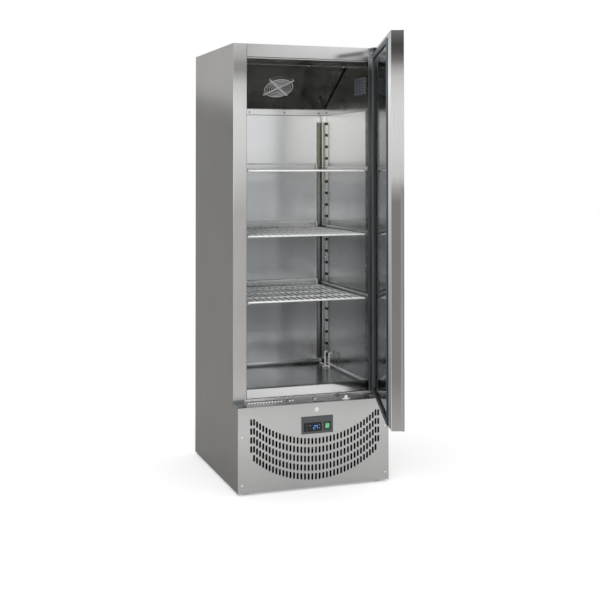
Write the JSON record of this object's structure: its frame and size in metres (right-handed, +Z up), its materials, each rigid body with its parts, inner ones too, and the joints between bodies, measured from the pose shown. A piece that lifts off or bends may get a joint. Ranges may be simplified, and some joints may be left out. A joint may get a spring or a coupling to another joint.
{
  "type": "upright refrigerated cabinet",
  "caption": "Tall stainless storage refrigerator with a right-hung solid door, wire shelves on slotted pillars and a slotted lower panel.",
  "frame": {"origin": "on the floor, under the middle of the cabinet's footprint", "axes": "+Z up, +X towards the hinged side as seen from the front, +Y towards the back"},
  "size_m": [0.6976, 1.3379, 1.9],
  "materials": {
    "satin_stainless_sheet": "satin, brushed along the height",
    "polished_stainless_liner": "bright annealed",
    "galvanised_sheet": "zinc coated",
    "white_coated_wire": "smooth plastic-coated wire",
    "steel_wire": "bright wire",
    "zinc_screws": "bright zinc",
    "insulating_foam": "rigid closed-cell foam",
    "gasket_rubber": "soft moulded",
    "black_plastic": "fine moulded grain",
    "grey_plastic": "satin printed film",
    "white_plastic": "moulded",
    "key_plastic": "rubbery",
    "green_rocker": "translucent, lit from behind",
    "plated_lock": "nickel plated",
    "black_enamel": "stoved enamel",
    "motor_casting": "die cast",
    "finned_aluminium": "plain fins",
    "copper_pipe": "drawn copper",
    "bush_plastic": "natural acetal"
  },
  "bodies": {
    "cabinet": {"base_tray": "galvanised_sheet", "levelling_feet": "galvanised_sheet", "left_side_panel": "satin_stainless_sheet", "right_side_panel": "satin_stainless_sheet", "top_panel": "satin_stainless_sheet", "back_panel": "galvanised_sheet", "rear_grille": "galvanised_sheet", "top_rail": "satin_stainless_sheet", "sill": "satin_stainless_sheet", "body_foam": "insulating_foam", "liner_left": "polished_stainless_liner", "liner_right": "polished_stainless_liner", "liner_back": "polished_stainless_liner", "liner_ceiling": "polished_stainless_liner", "liner_floor": "polished_stainless_liner", "wall_band": "polished_stainless_liner", "fixing_screws": "zinc_screws", "pilasters_front": "polished_stainless_liner", "pilasters_rear": "polished_stainless_liner", "runners_1": "polished_stainless_liner", "runners_2": "polished_stainless_liner", "runners_3": "polished_stainless_liner", "spare_shelf_clips": "white_coated_wire", "evaporator_cover": "polished_stainless_liner", "fan_guard": "steel_wire", "evaporator_motor": "motor_casting", "evaporator_coil": "finned_aluminium", "air_probe": "black_plastic", "data_plate": "grey_plastic", "hinge_top": "satin_stainless_sheet", "hinge_bottom": "satin_stainless_sheet", "ledge_plate": "satin_stainless_sheet", "end_cap": "black_plastic", "door_sensor": "white_plastic", "front_panel": "satin_stainless_sheet", "control_plate": "grey_plastic", "controller": "black_plastic", "lock_barrel": "plated_lock", "compressor": "black_enamel", "condenser_coil": "finned_aluminium", "condenser_motor": "black_enamel", "refrigerant_line": "copper_pipe", "cable_gland": "black_plastic"},
    "door": {"door_skin": "satin_stainless_sheet", "door_foam": "insulating_foam", "door_inner_panel": "polished_stainless_liner", "door_gasket": "gasket_rubber", "hinge_bushes": "bush_plastic"},
    "evaporator_blades": {"evaporator_fan": "black_plastic"},
    "condenser_blades": {"condenser_fan": "black_plastic"},
    "power_rocker": {"rocker": "green_rocker"},
    "upper_key": {"key_upper": "key_plastic"},
    "lower_key": {"key_lower": "key_plastic"},
    "lock": {"lock_plug": "plated_lock"},
    "top_shelf": {"shelf_1": "white_coated_wire", "shelf_1_stop": "white_coated_wire"},
    "middle_shelf": {"shelf_2": "white_coated_wire", "shelf_2_stop": "white_coated_wire"},
    "bottom_shelf": {"shelf_3": "white_coated_wire", "shelf_3_stop": "white_coated_wire"}
  },
  "joints": [
    {"name": "door_swing", "type": "hinge", "parent": "cabinet", "child": "door", "pos_m": [0.323, -0.3265, 0], "axis": [0, 0, 1], "range_deg": [-71.4, 38.6]},
    {"name": "evaporator_fan_spin", "type": "hinge", "parent": "cabinet", "child": "evaporator_blades", "pos_m": [0.0015, 0.1385, 1.75027], "axis": [0, -0.5387, -0.8425], "continuous": true},
    {"name": "condenser_fan_spin", "type": "hinge", "parent": "cabinet", "child": "condenser_blades", "pos_m": [0.185, -0.258, 0.137], "axis": [0, -1, 0], "continuous": true},
    {"name": "rocker_tilt", "type": "hinge", "parent": "cabinet", "child": "power_rocker", "pos_m": [0.055, -0.356, 0.2655], "axis": [-1, 0, 0], "range_deg": [0, 16]},
    {"name": "key_upper_press", "type": "slide", "parent": "cabinet", "child": "upper_key", "axis": [0, 1, 0], "range_m": [0, 0.0006], "stiffness_N_per_m": 500},
    {"name": "key_lower_press", "type": "slide", "parent": "cabinet", "child": "lower_key", "axis": [0, 1, 0], "range_m": [0, 0.0006], "stiffness_N_per_m": 500},
    {"name": "lock_turn", "type": "hinge", "parent": "cabinet", "child": "lock", "pos_m": [0.0065, -0.3625, 0.338], "axis": [0, -1, 0], "range_deg": [0, 90]},
    {"name": "shelf_1_slide", "type": "slide", "parent": "cabinet", "child": "top_shelf", "axis": [0, -1, 0], "range_m": [0, 0.025]},
    {"name": "shelf_2_slide", "type": "slide", "parent": "cabinet", "child": "middle_shelf", "axis": [0, -1, 0], "range_m": [0, 0.025]},
    {"name": "shelf_3_slide", "type": "slide", "parent": "cabinet", "child": "bottom_shelf", "axis": [0, -1, 0], "range_m": [0, 0.025]}
  ]
}
